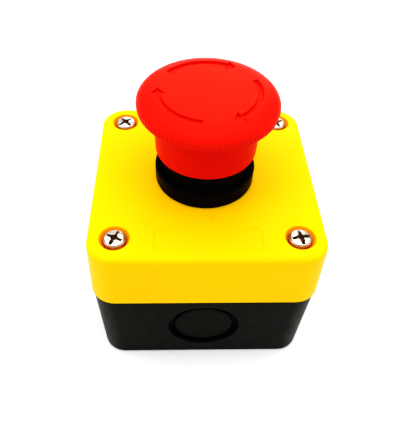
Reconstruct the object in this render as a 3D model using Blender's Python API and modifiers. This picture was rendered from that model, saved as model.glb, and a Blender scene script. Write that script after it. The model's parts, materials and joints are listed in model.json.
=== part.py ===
"""Emergency stop station: a twist-release mushroom push button on a one-hole enclosure.

Frame: millimetres times MM, +Z up, origin at the centre of the enclosure's underside. The
cable knock-outs face -Y and +Y. The button's axis is the Z axis. Pieces that meet keep a
gap of TOUCH between them, and everything is drawn in the released (raised) position.
"""

import math

import bmesh
import bpy
from mathutils import Matrix, Vector

MM = 0.001
TOUCH = 0.3 * MM

# Driving dimensions ----------------------------------------------------------------------
TOTAL_HEIGHT = 84.0 * MM
LID_TOP = 53.6 * MM
SEAM = 32.9 * MM
LID_HALF_AT_SEAM = 35.15 * MM
LID_HALF_AT_TOP = 34.45 * MM
BASE_HALF_AT_TOP = 34.80 * MM
BASE_HALF_AT_BOTTOM = 34.15 * MM
CORNER_RADIUS = 7.7 * MM
WALL = 3.0 * MM
LID_EDGE = 1.9 * MM
BASE_EDGE = 1.0 * MM

SCREW_SPACING = 26.4 * MM
SCREW_HEAD_RADIUS = 3.2 * MM
SCREW_HEAD_RISE = 0.4 * MM
SCREW_SHANK_RADIUS = 1.75 * MM
SCREW_LENGTH = 32.0 * MM
COUNTERBORE_RADIUS = 4.2 * MM
COUNTERBORE_DEPTH = 3.0 * MM
PILLAR_RADIUS = 6.2 * MM

WALL_SLOT_X = 22.0 * MM
WALL_SLOT_RADIUS = 2.5 * MM
WALL_SLOT_LENGTH = 9.4 * MM

PANEL_HOLE_RADIUS = 11.25 * MM
BARREL_RADIUS = 11.0 * MM
BEZEL_RADIUS = 15.3 * MM
BEZEL_TOP = 59.0 * MM
SLEEVE_RADIUS = 13.3 * MM
SLEEVE_TOP = 73.0 * MM
BARREL_END = 37.5 * MM
BARREL_BORE = 8.6 * MM

HEAD_RADIUS = 20.0 * MM
HEAD_FLAT_RADIUS = 14.5 * MM
HEAD_PARTING = 80.5 * MM
HEAD_RIM = 79.4 * MM
COLLAR_TOP_RADIUS = 15.4 * MM
COLLAR_END_RADIUS = 15.0 * MM
COLLAR_END = 65.2 * MM

TRAVEL = 5.5 * MM
SPINDLE_RADIUS = 5.5 * MM
SPINDLE_END = 38.3 * MM
PUSHER_END = 35.7 * MM
LATCH_HEIGHT = 58.0 * MM

BLOCK_CENTRE = 5.75 * MM
BLOCK_HALF_LENGTH = 17.0 * MM
BLOCK_BOTTOM = 5.0 * MM
BLOCK_TOP = 29.8 * MM
STRIP_HEIGHT = 20.0 * MM
STRIP_THICKNESS = 0.8 * MM
TERMINAL_Y = 13.15 * MM

# Materials: base colour, roughness, metallic ---------------------------------------------
FINISHES = {
    "yellow_plastic": ((0.98, 0.72, 0.005), 0.35, 0.0),
    "black_plastic": ((0.012, 0.012, 0.010), 0.42, 0.0),
    "red_plastic": ((0.90, 0.012, 0.006), 0.30, 0.0),
    "grey_plastic": ((0.30, 0.31, 0.32), 0.45, 0.0),
    "white_plastic": ((0.80, 0.80, 0.76), 0.40, 0.0),
    "green_plastic": ((0.02, 0.32, 0.09), 0.40, 0.0),
    "red_block_plastic": ((0.55, 0.02, 0.02), 0.40, 0.0),
    "black_rubber": ((0.020, 0.020, 0.020), 0.80, 0.0),
    "plated_steel": ((0.72, 0.72, 0.70), 0.25, 1.0),
    "spring_steel": ((0.55, 0.56, 0.57), 0.30, 1.0),
    "brass": ((0.78, 0.57, 0.22), 0.30, 1.0),
    "silver_alloy": ((0.86, 0.86, 0.84), 0.25, 1.0),
}


# Scene and object helpers ----------------------------------------------------------------
def clear_scene():
    """Remove the objects that Blender starts with."""
    for existing in list(bpy.data.objects):
        bpy.data.objects.remove(existing, do_unlink=True)


def new_collection(name):
    """A collection linked to the scene."""
    made = bpy.data.collections.new(name)
    bpy.context.scene.collection.children.link(made)
    return made


clear_scene()
PARTS = new_collection("emergency_stop_button")
TOOLS = new_collection("cutters")


def finish(name):
    """The material of that name, made the first time it is asked for."""
    if name in bpy.data.materials:
        return bpy.data.materials[name]
    colour, roughness, metallic = FINISHES[name]
    made = bpy.data.materials.new(name)
    made.use_nodes = True
    shader = made.node_tree.nodes["Principled BSDF"]
    shader.inputs["Base Color"].default_value = (*colour, 1.0)
    shader.inputs["Roughness"].default_value = roughness
    shader.inputs["Metallic"].default_value = metallic
    made.diffuse_color = (*colour, 1.0)
    return made


def add_object(name, mesh, location=(0, 0, 0)):
    """Link a mesh as an object among the tools; part() moves it among the parts."""
    made = bpy.data.objects.new(name, mesh)
    made.location = location
    TOOLS.objects.link(made)
    made.hide_render = True
    made.display_type = "WIRE"
    return made


def part(shape, name, material):
    """Turn a shape into a named sub-part with its material."""
    shape.name = name
    shape.data.name = name
    TOOLS.objects.unlink(shape)
    PARTS.objects.link(shape)
    shape.hide_render = False
    shape.display_type = "TEXTURED"
    shape.data.materials.clear()
    shape.data.materials.append(finish(material))
    return shape


def mesh_of(bm, name):
    """A shaded mesh from a bmesh: smooth where round, sharp at edges over 35 degrees."""
    bmesh.ops.recalc_face_normals(bm, faces=bm.faces)
    mesh = bpy.data.meshes.new(name)
    bm.to_mesh(mesh)
    bm.free()
    mesh.shade_smooth()
    mesh.set_sharp_from_angle(angle=math.radians(35))
    return mesh


# Shape helpers ---------------------------------------------------------------------------
def drafted_box(bottom, top, half_bottom, half_top, corner, top_edge=0.0, bottom_edge=0.0):
    """A square box whose sides lean, with rounded upright corners and optional rounded rims."""
    bm = bmesh.new()
    bmesh.ops.create_cube(bm, size=2.0)
    for vert in bm.verts:
        half, height = (half_top, top) if vert.co.z > 0 else (half_bottom, bottom)
        vert.co = Vector((vert.co.x * half, vert.co.y * half, height))
    upright = [e for e in bm.edges if abs(e.verts[0].co.z - e.verts[1].co.z) > 1e-6]
    bmesh.ops.bevel(bm, geom=upright, offset=corner, segments=6, profile=0.5, affect="EDGES")
    for height, radius, steps in ((top, top_edge, 3), (bottom, bottom_edge, 1)):
        if radius:
            rim = [e for e in bm.edges if all(abs(v.co.z - height) < 1e-6 for v in e.verts)]
            bmesh.ops.bevel(
                bm, geom=rim, offset=radius, segments=steps, profile=0.5, affect="EDGES"
            )
    return add_object("drafted_box", mesh_of(bm, "drafted_box"))


def block(low, high, rounding=0.0):
    """A rectangular block between two opposite corners, its edges chamfered by rounding."""
    low = Vector(low)
    size = Vector(high) - low
    bm = bmesh.new()
    bmesh.ops.create_cube(bm, size=1.0)
    bmesh.ops.scale(bm, vec=size, verts=bm.verts)
    bmesh.ops.translate(bm, vec=low + size / 2, verts=bm.verts)
    if rounding:
        bmesh.ops.bevel(
            bm, geom=list(bm.edges), offset=rounding, segments=1, profile=0.5, affect="EDGES"
        )
    return add_object("block", mesh_of(bm, "block"))


def rod(radius, bottom, top, at=(0.0, 0.0), sides=20):
    """An upright cylinder at a point in plan."""
    bm = bmesh.new()
    bmesh.ops.create_cone(
        bm, cap_ends=True, segments=sides, radius1=radius, radius2=radius, depth=top - bottom
    )
    bmesh.ops.translate(bm, vec=(at[0], at[1], (top + bottom) / 2), verts=bm.verts)
    return add_object("rod", mesh_of(bm, "rod"))


def turned(profile, steps, closed=True):
    """A profile of (radius, height) points turned about Z.

    The points run down the outer side. A closed profile is a ring's section; an open one
    starts and ends on the axis.
    """
    mesh = bpy.data.meshes.new("turned")
    points = [(radius, 0.0, height) for radius, height in profile]
    edges = [(i, i + 1) for i in range(len(points) - 1)]
    if closed:
        edges.append((len(points) - 1, 0))
    mesh.from_pydata(points, edges, [])
    made = add_object("turned", mesh)
    screw = made.modifiers.new("turn", "SCREW")
    screw.steps = steps
    screw.render_steps = steps
    screw.use_merge_vertices = True
    screw.merge_threshold = 0.00001
    screw.use_smooth_shade = True
    return baked(made)


def outline(loops, thickness, turn=None, at=(0, 0, 0)):
    """A flat outline with any holes, given as loops of (x, y), made `thickness` thick.

    It lies on z = 0, half its thickness each way, before `turn` (a matrix) and `at` place it.
    """
    curve = bpy.data.curves.new("outline", "CURVE")
    curve.dimensions = "2D"
    curve.fill_mode = "BOTH"
    curve.extrude = thickness / 2
    for loop in loops:
        spline = curve.splines.new("POLY")
        spline.points.add(len(loop) - 1)
        for point, (x, y) in zip(spline.points, loop):
            point.co = (x, y, 0.0, 1.0)
        spline.use_cyclic_u = True
    made = bpy.data.objects.new("outline", curve)
    TOOLS.objects.link(made)
    made.matrix_world = Matrix.Translation(at) @ (turn or Matrix.Identity(4))
    return baked(made)


def coil(radius, wire, turns, bottom, top, at=(0.0, 0.0), per_turn=10):
    """A compression spring: the wire's centre line climbs a helix between closed ends."""
    low = bottom + wire / 2
    rise = top - bottom - wire
    count = int(turns * per_turn)
    curve = bpy.data.curves.new("coil", "CURVE")
    curve.dimensions = "3D"
    curve.bevel_depth = wire / 2
    curve.bevel_resolution = 2
    curve.use_fill_caps = True
    spline = curve.splines.new("POLY")
    spline.points.add(count)
    for index, point in enumerate(spline.points):
        angle = 2 * math.pi * index / per_turn
        height = low + rise * index / count
        x = at[0] + radius * math.cos(angle)
        y = at[1] + radius * math.sin(angle)
        point.co = (x, y, height, 1.0)
    made = bpy.data.objects.new("coil", curve)
    TOOLS.objects.link(made)
    return baked(made)


def baked(source):
    """Replace an object by a plain mesh of its evaluated shape, with its place kept."""
    bpy.context.view_layer.update()
    evaluated = source.evaluated_get(bpy.context.evaluated_depsgraph_get())
    mesh = bpy.data.meshes.new_from_object(evaluated)
    mesh.transform(source.matrix_world)
    bm = bmesh.new()
    bm.from_mesh(mesh)
    bmesh.ops.remove_doubles(bm, verts=bm.verts, dist=0.000001)
    name = source.name
    bpy.data.objects.remove(source, do_unlink=True)
    return add_object(name, mesh_of(bm, name))


def boolean(target, tool, operation):
    """Add one Boolean modifier to the target."""
    modifier = target.modifiers.new(operation.lower(), "BOOLEAN")
    modifier.operation = operation
    modifier.solver = "EXACT"
    modifier.object = tool


def cut(target, *tools):
    """Cut each tool out of the target."""
    for tool in tools:
        boolean(target, tool, "DIFFERENCE")
    return target


def join(target, *tools):
    """Add each tool to the target as one solid."""
    for tool in tools:
        boolean(target, tool, "UNION")
    return target


def moved(shape, turn, at=(0, 0, 0)):
    """Turn a shape's mesh about the origin, then shift it."""
    shape.data.transform(Matrix.Translation(at) @ turn)
    return shape


def copy_of(shape, turn, at=(0, 0, 0)):
    """A second object that shares the shape's mesh, turned and shifted as an object."""
    made = bpy.data.objects.new(shape.name, shape.data)
    made.matrix_world = Matrix.Translation(at) @ turn
    TOOLS.objects.link(made)
    return made


def about(axis, degrees):
    """A rotation about a named axis."""
    return Matrix.Rotation(math.radians(degrees), 4, axis)


def circle(radius, sides, centre=(0.0, 0.0)):
    """Points around a circle in plan."""
    steps = [2 * math.pi * index / sides for index in range(sides)]
    return [(centre[0] + radius * math.cos(a), centre[1] + radius * math.sin(a)) for a in steps]


def rectangle(x0, y0, x1, y1):
    """The four corners of a rectangle."""
    return [(x0, y0), (x1, y0), (x1, y1), (x0, y1)]


def slot_outline(radius, half_length, sides=12):
    """A slot's outline in plan: two half circles whose centres are half_length from its middle."""
    points = []
    for end in (1, -1):
        for index in range(sides + 1):
            angle = math.pi * index / sides + (0.0 if end == 1 else math.pi)
            points.append((radius * math.cos(angle), end * half_length + radius * math.sin(angle)))
    return points


CORNERS = [
    (sx * SCREW_SPACING, sy * SCREW_SPACING) for sx, sy in ((-1, -1), (1, -1), (1, 1), (-1, 1))
]


# Enclosure -------------------------------------------------------------------------------
def knockout_cutter(side):
    """The groove and sunk disc of a cable knock-out, facing -Y (side -1) or +Y (side +1)."""
    groove, disc = 11.4 * MM, 9.4 * MM
    outside, sunk, deep = 2.0 * MM, -0.9 * MM, -2.0 * MM
    profile = [
        (0.0, outside),
        (groove, outside),
        (groove, deep),
        (disc, deep),
        (disc, sunk),
        (0.0, sunk),
    ]
    height = 17.8 * MM
    lean = (BASE_HALF_AT_TOP - BASE_HALF_AT_BOTTOM) * height / SEAM
    face = BASE_HALF_AT_BOTTOM + lean
    return moved(turned(profile, 30, closed=False), about("X", -90 * side), (0, side * face, height))


def wall_slot_cutters(x):
    """A slot through the floor for a wall screw, and the wider recess for the screw's head."""
    half_length = WALL_SLOT_LENGTH / 2 - WALL_SLOT_RADIUS
    through = outline(
        [slot_outline(WALL_SLOT_RADIUS, half_length)], 10 * MM, at=(x, 0, 0)
    )
    recess = outline(
        [slot_outline(WALL_SLOT_RADIUS + 1.9 * MM, half_length)], 4 * MM, at=(x, 0, 4 * MM)
    )
    return through, recess


def seal_ring(half, width, bottom, top, corner):
    """A square ring that follows the rim: `half` is its middle line's distance from centre."""
    ring = drafted_box(bottom, top, half + width / 2, half + width / 2, corner + width / 2)
    hole = drafted_box(
        bottom - MM, top + MM, half - width / 2, half - width / 2, corner - width / 2
    )
    return baked(cut(ring, hole))


def make_base():
    """Lower shell: floor, four screw pillars, seal groove, knock-outs and wall screw slots."""
    rim = SEAM - TOUCH
    base = drafted_box(
        0.0, rim, BASE_HALF_AT_BOTTOM, BASE_HALF_AT_TOP, CORNER_RADIUS, 0.0, BASE_EDGE
    )
    hollow = drafted_box(
        2.8 * MM,
        rim + 2 * MM,
        BASE_HALF_AT_BOTTOM - WALL,
        BASE_HALF_AT_TOP - WALL - 0.3 * MM,
        CORNER_RADIUS - WALL,
    )
    cut(base, hollow)
    join(base, *[rod(PILLAR_RADIUS, 1.5 * MM, rim - 0.4 * MM, at) for at in CORNERS])
    pilot = SCREW_SHANK_RADIUS + TOUCH
    cut(base, *[rod(pilot, 16 * MM, SEAM + MM, at, 12) for at in CORNERS])
    cut(base, seal_ring(33.0 * MM, 1.5 * MM, SEAM - 1.9 * MM, SEAM + MM, 6.0 * MM))
    cut(base, knockout_cutter(-1), knockout_cutter(1))
    cut(base, *wall_slot_cutters(-WALL_SLOT_X), *wall_slot_cutters(WALL_SLOT_X))
    return part(base, "enclosure_base", "black_plastic")


def make_lid():
    """Upper shell: button hole with its locating notch, screw wells, sunk label field."""
    lid = drafted_box(
        SEAM, LID_TOP, LID_HALF_AT_SEAM, LID_HALF_AT_TOP, CORNER_RADIUS, LID_EDGE, 0.0
    )
    ceiling = LID_TOP - WALL
    hollow = drafted_box(
        SEAM - MM,
        ceiling,
        LID_HALF_AT_SEAM - 2.8 * MM,
        LID_HALF_AT_TOP - WALL,
        CORNER_RADIUS - WALL,
    )
    cut(lid, hollow)
    join(lid, *[rod(PILLAR_RADIUS, SEAM + 0.4 * MM, ceiling + MM, at) for at in CORNERS])
    well_floor = LID_TOP - COUNTERBORE_DEPTH
    cut(lid, *[rod(COUNTERBORE_RADIUS, well_floor, LID_TOP + MM, at) for at in CORNERS])
    clearance = SCREW_SHANK_RADIUS + TOUCH
    cut(lid, *[rod(clearance, SEAM - MM, LID_TOP, at, 12) for at in CORNERS])
    cut(lid, rod(PANEL_HOLE_RADIUS, ceiling - MM, LID_TOP + MM, sides=32))
    notch = block(
        (-1.6 * MM, 10 * MM, ceiling - MM), (1.6 * MM, 12.4 * MM, LID_TOP + 2 * MM)
    )
    label = block(
        (-15.3 * MM, -31.0 * MM, LID_TOP - 0.3 * MM), (15.6 * MM, -22.9 * MM, LID_TOP + MM)
    )
    cut(lid, notch, label)
    return part(lid, "enclosure_lid", "yellow_plastic")


def make_seal():
    """Rubber seal in the base's groove, pressed by the lid's rim."""
    ring = seal_ring(33.0 * MM, 0.8 * MM, SEAM - 1.6 * MM, SEAM - TOUCH, 6.0 * MM)
    return part(ring, "lid_seal", "black_rubber")


def make_screws():
    """Four long pan-head screws with a cross recess, one in each well, each turned its own way."""
    bottom = LID_TOP - COUNTERBORE_DEPTH + TOUCH
    top = LID_TOP + SCREW_HEAD_RISE
    r = SCREW_HEAD_RADIUS
    shank = SCREW_SHANK_RADIUS
    tip = top - SCREW_LENGTH
    profile = [
        (0.0, top),
        (0.7 * r, top - 0.1 * MM),
        (0.92 * r, top - 0.3 * MM),
        (r, top - 0.7 * MM),
        (r, bottom),
        (shank, bottom),
        (shank, tip + 2 * MM),
        (0.4 * MM, tip),
        (0.0, tip),
    ]
    screw = turned(profile, 16, closed=False)
    for angle in (0, 90):
        slot = block(
            (-2.3 * MM, -0.5 * MM, top - 1.7 * MM), (2.3 * MM, 0.5 * MM, top + MM)
        )
        cut(screw, moved(slot, about("Z", angle)))
    screw = baked(screw)
    turns = (-23, 11, 20, 43)
    for number, (corner, turn) in enumerate(zip(CORNERS, turns), 1):
        placed = copy_of(screw, about("Z", turn), (*corner, 0))
        part(placed, f"lid_screw_{number}", "plated_steel")
    bpy.data.objects.remove(screw, do_unlink=True)


# Operator: the pieces that stay still ----------------------------------------------------
def key_slots(outer, width, bottom, top):
    """Two slots across the Y axis that guide the pusher's ears."""
    return block((-width / 2, -outer, bottom), (width / 2, outer, top))


def make_housing():
    """Bezel, sleeve and threaded barrel in one moulding, with a web that carries the spring."""
    flange = LID_TOP + TOUCH
    web_top = LATCH_HEIGHT + 1.8 * MM
    web_bottom = LATCH_HEIGHT - 1.8 * MM
    spindle_bore = SPINDLE_RADIUS + TOUCH
    latch_bore = 7.5 * MM
    profile = [
        (SLEEVE_RADIUS - 0.4 * MM, SLEEVE_TOP),
        (SLEEVE_RADIUS, SLEEVE_TOP - 0.6 * MM),
        (SLEEVE_RADIUS, BEZEL_TOP - 0.5 * MM),
        (14.0 * MM, BEZEL_TOP - 0.5 * MM),
        (14.1 * MM, BEZEL_TOP),
        (BEZEL_RADIUS - 0.5 * MM, BEZEL_TOP),
        (BEZEL_RADIUS, BEZEL_TOP - 0.6 * MM),
        (BEZEL_RADIUS, flange),
        (14.5 * MM, flange),
        (14.5 * MM, flange + 1.3 * MM),
        (BARREL_RADIUS, flange + 1.3 * MM),
        (BARREL_RADIUS, BARREL_END + 0.8 * MM),
        (BARREL_RADIUS - 0.8 * MM, BARREL_END),
        (BARREL_BORE, BARREL_END),
        (BARREL_BORE, web_bottom),
        (spindle_bore, web_bottom),
        (spindle_bore, LATCH_HEIGHT - 0.8 * MM),
        (latch_bore, LATCH_HEIGHT - 0.8 * MM),
        (latch_bore, LATCH_HEIGHT + 0.8 * MM),
        (spindle_bore, LATCH_HEIGHT + 0.8 * MM),
        (spindle_bore, web_top),
        (11.2 * MM, web_top),
        (11.2 * MM, SLEEVE_TOP),
    ]
    housing = turned(profile, 32)
    key = block((-1.2 * MM, 10.5 * MM, LID_TOP - WALL + TOUCH), (1.2 * MM, 12 * MM, flange + 2 * MM))
    join(housing, key)
    cut(housing, key_slots(9.9 * MM, 3.6 * MM, BARREL_END - MM, 52.5 * MM))
    return part(housing, "operator_housing", "black_plastic")


def ring(inner, outer, bottom, top, sides=32):
    """A plain flat ring about the button's axis."""
    return turned([(outer, top), (outer, bottom), (inner, bottom), (inner, top)], sides)


def make_panel_fixings():
    """Gasket under the bezel and the nut that clamps the lid's panel."""
    flange = LID_TOP + TOUCH
    gasket = ring(12.4 * MM, 14.2 * MM, flange, flange + MM)
    part(gasket, "panel_gasket", "black_rubber")
    across_flats = 27.0 * MM
    nut_top = LID_TOP - WALL - TOUCH
    thickness = 4.6 * MM
    corners = circle(across_flats / math.sqrt(3), 6)
    bore = circle(BARREL_RADIUS + TOUCH, 32)
    nut = outline([corners, bore], thickness, at=(0, 0, nut_top - thickness / 2))
    part(nut, "panel_nut", "grey_plastic")


def make_latch_ring():
    """Open wire ring in the web that snaps into the spindle's groove when it is pressed."""
    radius, wire = 6.6 * MM, 1.0 * MM
    gap, count = 40, 18
    curve = bpy.data.curves.new("latch_ring", "CURVE")
    curve.dimensions = "3D"
    curve.bevel_depth = wire / 2
    curve.bevel_resolution = 2
    curve.use_fill_caps = True
    spline = curve.splines.new("POLY")
    spline.points.add(count)
    for index, point in enumerate(spline.points):
        angle = math.radians(gap / 2 + (360 - gap) * index / count)
        point.co = (radius * math.cos(angle), radius * math.sin(angle), LATCH_HEIGHT, 1.0)
    made = bpy.data.objects.new("latch_ring", curve)
    TOOLS.objects.link(made)
    return part(baked(made), "latch_ring", "spring_steel")


def make_collar():
    """Coupling that grips the barrel's end and carries the contact blocks on its plate."""
    plate_bottom = BLOCK_TOP + TOUCH
    plate_top = plate_bottom + 3.0 * MM
    ring_top = LID_TOP - WALL - 5.2 * MM
    plate = block(
        (-12.4 * MM, -18.6 * MM, plate_bottom), (12.4 * MM, 18.6 * MM, plate_top), 0.6 * MM
    )
    join(plate, rod(14.0 * MM, plate_bottom + MM, ring_top, sides=32))
    ledge = BARREL_END - TOUCH
    bore = [
        (0.0, ring_top + MM),
        (BARREL_RADIUS + TOUCH, ring_top + MM),
        (BARREL_RADIUS + TOUCH, ledge),
        (BARREL_BORE + TOUCH, ledge),
        (BARREL_BORE + TOUCH, plate_bottom - MM),
        (0.0, plate_bottom - MM),
    ]
    cut(plate, turned(bore, 32, closed=False))
    cut(plate, key_slots(9.9 * MM, 3.6 * MM, plate_bottom - 2 * MM, ledge + 2 * MM))
    for x in (-BLOCK_CENTRE, BLOCK_CENTRE):
        for y in (-15.5 * MM, 15.5 * MM):
            window = block(
                (x - 2.8 * MM, y - MM, plate_bottom - MM), (x + 2.8 * MM, y + MM, plate_top + MM)
            )
            cut(plate, window)
    cross_hole = moved(rod(1.8 * MM, -20 * MM, 20 * MM, sides=16), about("X", 90), (0, 0, 42 * MM))
    cut(plate, cross_hole)
    return part(plate, "mounting_collar", "black_plastic")


def make_collar_screws():
    """Two slotted set screws that lock the coupling on the barrel."""
    for number, side in enumerate((-1, 1), 1):
        screw = rod(1.5 * MM, 11.4 * MM, 14.6 * MM, sides=16)
        slot = block((-2 * MM, -0.25 * MM, 13.9 * MM), (2 * MM, 0.25 * MM, 15.6 * MM))
        screw = baked(cut(screw, slot))
        moved(screw, about("X", -90 * side), (0, 0, 42 * MM))
        part(screw, f"collar_screw_{number}", "plated_steel")


# Operator: the pieces that move ----------------------------------------------------------
def arrow_outline(tail, tip, radius=14.0 * MM, width=1.6 * MM):
    """A curved arrow seen from above, clockwise from tail to tip (degrees)."""
    head_length = 10.5
    neck = tip + head_length
    count = 8
    angles = [math.radians(tail + (neck - tail) * index / count) for index in range(count + 1)]
    outer = [
        ((radius + width / 2) * math.cos(a), (radius + width / 2) * math.sin(a)) for a in angles
    ]
    inner = [
        ((radius - width / 2) * math.cos(a), (radius - width / 2) * math.sin(a)) for a in angles
    ]
    wide = 2.1 * MM
    at_neck, at_tip = math.radians(neck), math.radians(tip)
    head = [
        ((radius + wide) * math.cos(at_neck), (radius + wide) * math.sin(at_neck)),
        (radius * math.cos(at_tip), radius * math.sin(at_tip)),
        ((radius - wide) * math.cos(at_neck), (radius - wide) * math.sin(at_neck)),
    ]
    return outer + head + inner[::-1]


def make_head():
    """Mushroom head: domed shoulder, flat top with three engraved arrows, long collar, boss."""
    crown = TOTAL_HEIGHT - HEAD_PARTING
    shoulder = HEAD_RADIUS - HEAD_FLAT_RADIUS
    dome = []
    steps = 6
    for index in range(1, steps + 1):
        angle = math.pi / 2 * index / steps
        dome.append(
            (HEAD_FLAT_RADIUS + shoulder * math.sin(angle), HEAD_PARTING + crown * math.cos(angle))
        )
    ceiling = TOTAL_HEIGHT - 3.2 * MM
    collar_wall = 1.45 * MM
    boss_end = SLEEVE_TOP + 0.5 * MM
    boss_radius = 7.6 * MM
    socket = SPINDLE_RADIUS + TOUCH
    profile = [(0.0, TOTAL_HEIGHT), (HEAD_FLAT_RADIUS, TOTAL_HEIGHT)]
    profile += dome
    profile += [
        (19.8 * MM, HEAD_RIM),
        (19.2 * MM, HEAD_RIM - 0.3 * MM),
        (COLLAR_TOP_RADIUS + 0.4 * MM, HEAD_RIM - 0.9 * MM),
        (COLLAR_TOP_RADIUS, HEAD_RIM - 1.4 * MM),
        (COLLAR_END_RADIUS, COLLAR_END + 0.2 * MM),
        (COLLAR_END_RADIUS - 0.2 * MM, COLLAR_END),
        (COLLAR_END_RADIUS - collar_wall + 0.15 * MM, COLLAR_END),
        (COLLAR_TOP_RADIUS - collar_wall - 0.2 * MM, ceiling),
        (boss_radius, ceiling),
        (boss_radius, boss_end),
        (socket, boss_end),
        (socket, ceiling - MM),
        (0.0, ceiling - MM),
    ]
    head = turned(profile, 40, closed=False)
    depth = 0.5 * MM
    for tail in (21, 141, 261):
        arrow = outline([arrow_outline(tail, tail - 86)], 2 * depth, at=(0, 0, TOTAL_HEIGHT))
        cut(head, arrow)
    return part(head, "mushroom_head", "red_plastic")


def make_spindle():
    """Spindle from the head's boss down to the pusher, with latch and clip grooves."""
    r = SPINDLE_RADIUS
    groove = LATCH_HEIGHT + TRAVEL
    clip = SPINDLE_END + 1.3 * MM
    top = TOTAL_HEIGHT - 4.5 * MM
    profile = [
        (0.0, top),
        (r - 0.5 * MM, top),
        (r, top - 0.5 * MM),
        (r, groove + 1.2 * MM),
        (r - 0.6 * MM, groove + 0.6 * MM),
        (r - 0.6 * MM, groove - 0.6 * MM),
        (r, groove - 1.2 * MM),
        (r, clip + 1.4 * MM),
        (4.4 * MM, clip + 1.4 * MM),
        (4.4 * MM, clip),
        (r, clip),
        (r, SPINDLE_END + 0.4 * MM),
        (r - 0.4 * MM, SPINDLE_END),
        (0.0, SPINDLE_END),
    ]
    return part(turned(profile, 20, closed=False), "head_spindle", "white_plastic")


def make_spindle_clip():
    """Open retaining ring in the spindle's lowest groove, held inside the pusher."""
    height = SPINDLE_END + 1.6 * MM
    clip = ring(4.7 * MM, 6.8 * MM, height, height + 0.8 * MM, 20)
    opening = block((-2.2 * MM, 0.0, height - MM), (2.2 * MM, 8 * MM, height + 2 * MM))
    return part(cut(clip, opening), "spindle_clip", "spring_steel")


def make_spindle_seal():
    """Rubber ring around the spindle on top of the housing's web."""
    inner = SPINDLE_RADIUS + TOUCH
    low = LATCH_HEIGHT + 1.8 * MM + TOUCH
    section = [
        (inner + 1.1 * MM, low + 1.5 * MM),
        (inner + 1.5 * MM, low + 1.1 * MM),
        (inner + 1.5 * MM, low + 0.4 * MM),
        (inner + 1.1 * MM, low),
        (inner + 0.4 * MM, low),
        (inner, low + 0.4 * MM),
        (inner, low + 1.1 * MM),
        (inner + 0.4 * MM, low + 1.5 * MM),
    ]
    return part(turned(section, 20), "spindle_seal", "black_rubber")


def make_pusher():
    """Sliding cup that holds the spindle's end and presses both contact blocks' plungers."""
    outer = BARREL_BORE - TOUCH
    top = PUSHER_END + 9.8 * MM
    floor = PUSHER_END + 1.8 * MM
    pocket = SPINDLE_END + 3.0 * MM
    profile = [
        (outer - 0.4 * MM, top),
        (outer, top - 0.4 * MM),
        (outer, PUSHER_END + 0.4 * MM),
        (outer - 0.4 * MM, PUSHER_END),
        (3.2 * MM, PUSHER_END),
        (3.2 * MM, floor),
        (7.1 * MM, floor),
        (7.1 * MM, pocket),
        (SPINDLE_RADIUS + TOUCH, pocket),
        (SPINDLE_RADIUS + TOUCH, top),
    ]
    pusher = turned(profile, 24)
    for side in (-1, 1):
        ear = block(
            (-1.5 * MM, side * 7.6 * MM, 38.5 * MM), (1.5 * MM, side * 9.6 * MM, 45.0 * MM)
        )
        join(pusher, ear)
    return part(pusher, "pusher", "white_plastic")


def make_operator_springs():
    """The spring that raises the head and the spring that turns it back."""
    web_top = LATCH_HEIGHT + 1.8 * MM
    ceiling = TOTAL_HEIGHT - 3.2 * MM
    lift = coil(9.7 * MM, 1.1 * MM, 5.5, web_top + TOUCH, ceiling - TOUCH)
    part(lift, "return_spring", "spring_steel")
    low = PUSHER_END + 10.1 * MM
    part(coil(7.0 * MM, 0.9 * MM, 4, low, low + 7 * MM), "twist_spring", "spring_steel")


# Contact blocks --------------------------------------------------------------------------
def side_block(side, x_inner, x_outer, y0, y1, bottom, top, rounding=0.0):
    """A block between two distances from the middle plane, on one side of it."""
    x0, x1 = sorted((side * x_inner, side * x_outer))
    return block((x0, y0, bottom), (x1, y1, top), rounding)


def in_yz(loops, thickness, x):
    """An outline of (y, z) points made `thickness` wide about a plane of constant x."""
    turn = Matrix(((0, 0, 1, 0), (1, 0, 0, 0), (0, 1, 0, 0), (0, 0, 0, 1)))
    return outline(loops, thickness, turn, (x, 0, 0))


def make_block_housing(prefix, side, material):
    """Moulded case, open on its outer side, with terminal pockets, ribs and snap hooks."""
    centre = side * BLOCK_CENTRE
    case = side_block(
        side, 0.45 * MM, 9.75 * MM, -BLOCK_HALF_LENGTH, BLOCK_HALF_LENGTH, BLOCK_BOTTOM, BLOCK_TOP
    )
    for end in (-1, 1):
        y0, y1 = sorted((end * 14.8 * MM, end * 16.2 * MM))
        post = side_block(side, 3.25 * MM, 8.25 * MM, y0, y1, BLOCK_TOP - MM, 34.1 * MM)
        y2, y3 = sorted((end * 15.4 * MM, end * 17.0 * MM))
        lip = side_block(side, 3.25 * MM, 8.25 * MM, y2, y3, 33.5 * MM, 34.6 * MM)
        join(case, post, lip)
    chamber = side_block(side, 1.65 * MM, 11 * MM, -9.4 * MM, 9.4 * MM, 6.5 * MM, 28.3 * MM)
    cut(case, chamber)
    for end in (-1, 1):
        y0, y1 = sorted((end * 10.4 * MM, end * 15.9 * MM))
        cut(case, side_block(side, 1.65 * MM, 11 * MM, y0, y1, 3 * MM, 25 * MM))
    slot_low = STRIP_HEIGHT - TOUCH
    slot_high = STRIP_HEIGHT + STRIP_THICKNESS + TOUCH
    cut(case, side_block(side, 2.9 * MM, 11 * MM, -11 * MM, 11 * MM, slot_low, slot_high))
    cut(case, rod(2.1 * MM, 27 * MM, 31 * MM, (centre, 0), 20))
    return part(case, f"{prefix}_block_housing", material)


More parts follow.
